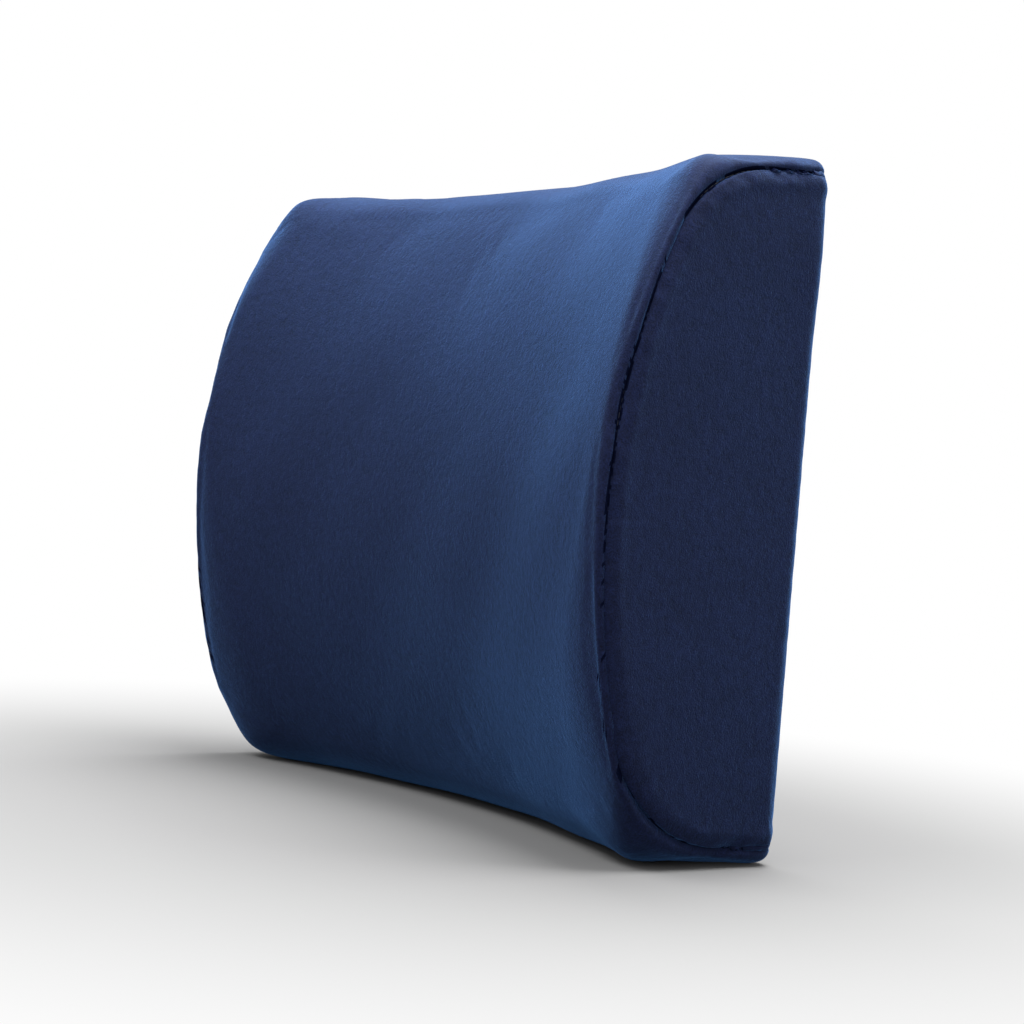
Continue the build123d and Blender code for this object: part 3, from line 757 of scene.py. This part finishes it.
def build_zip():
    tape_low, tape_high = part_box("zip_tape_upper")
    gap = tape_low[2] - ZIP_Z
    for up, name in ((1, "upper"), (-1, "lower")):
        across = ZIP_Z + up * np.linspace(gap, gap + 13 * MM, 9)
        x, z = np.meshgrid(np.linspace(tape_low[0], tape_high[0], 120), across if up > 0 else across[::-1])
        y = tape_high[1] + 0.08 * MM * np.sin(x / (9 * MM)) - 0.08 * MM
        sheet = cloth_sheet(f"zip_tape_{name}_woven", np.stack([x, y, z], axis=2), flip=True)
        tape = thicken(sheet, 0.4 * MM)
        dress(tape, ZIP_TAPE, "cushion")
        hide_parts(f"zip_tape_{name}")
        low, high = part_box(f"zip_teeth_{name}")
        bm = bmesh.new()
        bmesh.ops.create_circle(bm, segments=8, radius=0.33 * MM,
                                matrix=Matrix.Translation((0, 0.36 * MM, 0))
                                @ Matrix.Rotation(math.pi / 2, 4, "X"))
        coil = piece_from(bm, f"zip_coil_{name}")
        winding = coil.modifiers.new("winding", "SCREW")
        winding.axis = "X"
        winding.angle = 2 * math.pi
        pitch = 1.6 * MM
        winding.iterations = int((high[0] - low[0] - pitch) / pitch)
        winding.screw_offset = pitch
        winding.steps = winding.render_steps = 12
        apply_modifiers(coil)
        places = np.array([v.co for v in coil.data.vertices])
        places -= places.min(axis=0)
        size = places.max(axis=0)
        box = np.array(high) - np.array(low)
        places = np.array(low) + places * (box - [0, 0.05 * MM, 0.05 * MM]) / size
        coil.data.vertices.foreach_set("co", places.ravel())
        coil.data.polygons.foreach_set("use_smooth", [True] * len(coil.data.polygons))
        dress(coil, ZIP_METAL, "cushion")
        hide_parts(f"zip_teeth_{name}")


# ---- strap and label ----

def rounded_route(route, steps=4):
    """Cut a polyline's corners again and again until they are round."""
    line = np.array(route, float)
    for _ in range(steps):
        first, last = line[:-1], line[1:]
        middle = np.stack([first * 0.75 + last * 0.25, first * 0.25 + last * 0.75], axis=1).reshape(-1, 2)
        line = np.vstack([line[:1], middle[1:-1], line[-1:]])
    return line


def band(name, route, width, thickness, height):
    """A woven band along a route of (x, y), with thin round selvedges."""
    line = rounded_route(route)
    run = np.concatenate([[0], np.cumsum(np.linalg.norm(np.diff(line, axis=0), axis=1))])
    marks = np.linspace(0, run[-1], max(24, int(run[-1] / (1.5 * MM))))
    line = np.stack([np.interp(marks, run, line[:, 0]), np.interp(marks, run, line[:, 1])], axis=1)
    way = np.gradient(line, axis=0)
    way /= np.linalg.norm(way, axis=1, keepdims=True)
    side = np.stack([-way[:, 1], way[:, 0]], axis=1)
    turn = np.linspace(0, 2 * math.pi, 41)
    across = (width / 2) * np.sign(np.cos(turn)) * np.abs(np.cos(turn)) ** 0.35
    through = (thickness / 2) * np.sign(np.sin(turn)) * np.abs(np.sin(turn)) ** 0.8
    rows = [np.stack([point[0] + normal[0] * through, point[1] + normal[1] * through, height + across],
                     axis=1)
            for point, normal in zip(line, side)]
    return piece_from(tube(np.array(rows)), name)


def build_strap():
    strap_z = (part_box("strap_left")[0][2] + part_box("strap_left")[1][2]) / 2
    web, width = 1.3 * MM, 24.6 * MM
    back = BACK_Y + 1.0 * MM
    bar = BACK_Y + 5.0 * MM
    bar_low, bar_high = bar - 2.4 * MM, bar + 2.4 * MM
    fold = BACK_Y + 3.2 * MM
    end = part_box("strap_right")[1][0]
    socket, plug = -31 * MM, 11.5 * MM
    adjuster_x = 76 * MM
    adjuster_y = back + 1.7 * MM + 2.2 * MM
    left = band("strap_left_webbing", [
        (-end, back), (socket - 18 * MM, back), (socket - 5 * MM, bar_low), (socket + 1.4 * MM, bar_low),
        (socket + 3.2 * MM, bar), (socket + 1.4 * MM, bar_high), (socket - 5 * MM, bar_high),
        (socket - 18 * MM, fold), (socket - 30 * MM, fold)], width, web, strap_z)
    dress(left, WEBBING, "cushion")
    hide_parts("strap_left")
    right = band("strap_right_webbing", [
        (end, back), (plug + 18 * MM, back), (plug + 5 * MM, bar_low),
        (plug - 0.2 * MM, bar_low)], width, web, strap_z)
    dress(right, WEBBING, None)
    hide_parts("strap_right")
    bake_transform(right)
    top = adjuster_y + 2.2 * MM
    folded = band("strap_fold_webbing", [
        (plug, bar_low), (plug - 1.6 * MM, bar_low), (plug - 3.2 * MM, bar), (plug - 1.6 * MM, bar_high),
        (plug + 5 * MM, bar_high), (plug + 18 * MM, fold), (adjuster_x - 24 * MM, fold),
        (adjuster_x - 12 * MM, top), (adjuster_x + 0.9 * MM, top), (adjuster_x + 2.5 * MM, adjuster_y),
        (adjuster_x + 0.9 * MM, adjuster_y - 2.2 * MM)], width, web, strap_z)
    dress(folded, WEBBING, None)
    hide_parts("strap_fold")
    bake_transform(folded)
    for name in ("right", "left"):
        low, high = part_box(f"bar_tack_{name}")
        heights = np.linspace(low[2], high[2], 26)
        ends = []
        for k, (a, b) in enumerate(zip(heights[:-1], heights[1:])):
            near, far = (low[0] + 0.3 * MM, high[0] - 0.3 * MM)
            ends.append(((near if k % 2 else far, low[1], a), (far if k % 2 else near, low[1], b)))
        tack = thread(f"bar_tack_{name}_thread", ends, 0.3 * MM)
        dress(tack, THREAD, "cushion")
        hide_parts(f"bar_tack_{name}")


def build_label():
    low, high = (np.array(c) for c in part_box("care_label"))
    x, z = np.meshgrid(np.linspace(low[0], high[0], 14), np.linspace(low[2], high[2], 20))
    lift = 0.25 * MM * np.sin((x - low[0]) / (high[0] - low[0]) * math.pi) ** 2
    places = np.stack([x, high[1] - 0.2 * MM + lift, z], axis=2)
    label = thicken(cloth_sheet("care_label_satin", places, flip=True),
                    0.3 * MM)
    dress(label, LABEL, "cushion")
    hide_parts("care_label")


def dress_frame_nodes():
    finishes = {
        "strap_adjuster": BUCKLE_PLASTIC, "buckle_socket": BUCKLE_PLASTIC, "buckle_plug": BUCKLE_PLASTIC,
        "buckle_prong_upper": BUCKLE_PLASTIC, "buckle_prong_lower": BUCKLE_PLASTIC,
        "zip_slider": ZIP_METAL, "zip_pull": ZIP_METAL, "zip_end_stops": ZIP_METAL,
    }
    for name, material in finishes.items():
        data = NODES[name].data
        data.materials.clear()
        data.materials.append(material)


# ---- studio ----

def make_camera():
    """The camera stands to the cushion's right, level with its middle, and is rolled a little."""
    turn, rise, roll = math.radians(52.706), math.radians(0.3615), math.radians(4.7213)
    distance, focal = 1.07345, 2048.8
    target = Vector((-22.8 * MM, BACK_Y - 13.09 * MM, 148.56 * MM))
    back = Vector((math.sin(turn) * math.cos(rise), -math.cos(turn) * math.cos(rise), math.sin(rise)))
    right = Vector((math.cos(turn), math.sin(turn), 0))
    up = back.cross(right)
    rolled_right = math.cos(roll) * right + math.sin(roll) * up
    rolled_up = math.cos(roll) * up - math.sin(roll) * right
    data = bpy.data.cameras.new("camera")
    data.sensor_width = 36.0
    data.lens = focal / 1024 * data.sensor_width
    camera = link(bpy.data.objects.new("camera", data))
    turned = Matrix((rolled_right, rolled_up, back)).transposed().to_4x4()
    camera.matrix_world = Matrix.Translation(target + distance * back) @ turned
    bpy.context.scene.camera = camera


def area_light(name, place, target, size, power):
    data = bpy.data.lights.new(name, "AREA")
    data.shape = "RECTANGLE"
    data.size, data.size_y = size
    data.energy = power
    lamp = link(bpy.data.objects.new(name, data))
    lamp.location = place
    lamp.rotation_euler = (Vector(place) - Vector(target)).to_track_quat("Z", "Y").to_euler()


FLOOR_SHADE = 0.15
FLOOR_FADE = (0.15, 0.56)    # distance from the middle where the fade to white starts and ends


def floor_material():
    """A pale floor that runs out to white."""
    material, nodes, links, shader = new_material("studio_floor")
    place = nodes.new("ShaderNodeTexCoord")
    reach = nodes.new("ShaderNodeVectorMath")
    reach.operation = "LENGTH"
    links.new(place.outputs["Object"], reach.inputs[0])
    fade = nodes.new("ShaderNodeMapRange")
    fade.interpolation_type = "SMOOTHSTEP"
    fade.inputs["From Min"].default_value, fade.inputs["From Max"].default_value = FLOOR_FADE
    links.new(reach.outputs["Value"], fade.inputs["Value"])
    white = nodes.new("ShaderNodeEmission")
    mix = nodes.new("ShaderNodeMixShader")
    links.new(fade.outputs["Result"], mix.inputs[0])
    links.new(shader.outputs[0], mix.inputs[1])
    links.new(white.outputs[0], mix.inputs[2])
    links.new(mix.outputs[0], nodes["Material Output"].inputs["Surface"])
    shader.inputs["Base Color"].default_value = (FLOOR_SHADE, FLOOR_SHADE, FLOOR_SHADE, 1)
    shader.inputs["Roughness"].default_value = 0.9
    shader.inputs["Specular IOR Level"].default_value = 0.0
    return material


def make_studio():
    bm = bmesh.new()
    bmesh.ops.create_grid(bm, x_segments=2, y_segments=2, size=6.0)
    floor = piece_from(bm, "studio_floor", smooth=False)
    floor.data.materials.append(floor_material())
    world = bpy.data.worlds.new("studio")
    bpy.context.scene.world = world
    world.use_nodes = True
    world.node_tree.nodes["Background"].inputs["Color"].default_value = (1, 1, 1, 1)
    world.node_tree.nodes["Background"].inputs["Strength"].default_value = 1.0
    area_light("top_softbox", (0.10, 0.30, 1.5), (0, 0, 0.2), (1.3, 1.0), 85)
    area_light("front_fill", (-0.30, -1.2, 1.9), (0, 0, 0.15), (1.2, 1.0), 50)
    bpy.context.scene.view_settings.view_transform = "Standard"


build_cover()
build_filling()
build_seams()
build_zip()
build_strap()
build_label()
dress_frame_nodes()
make_camera()
make_studio()
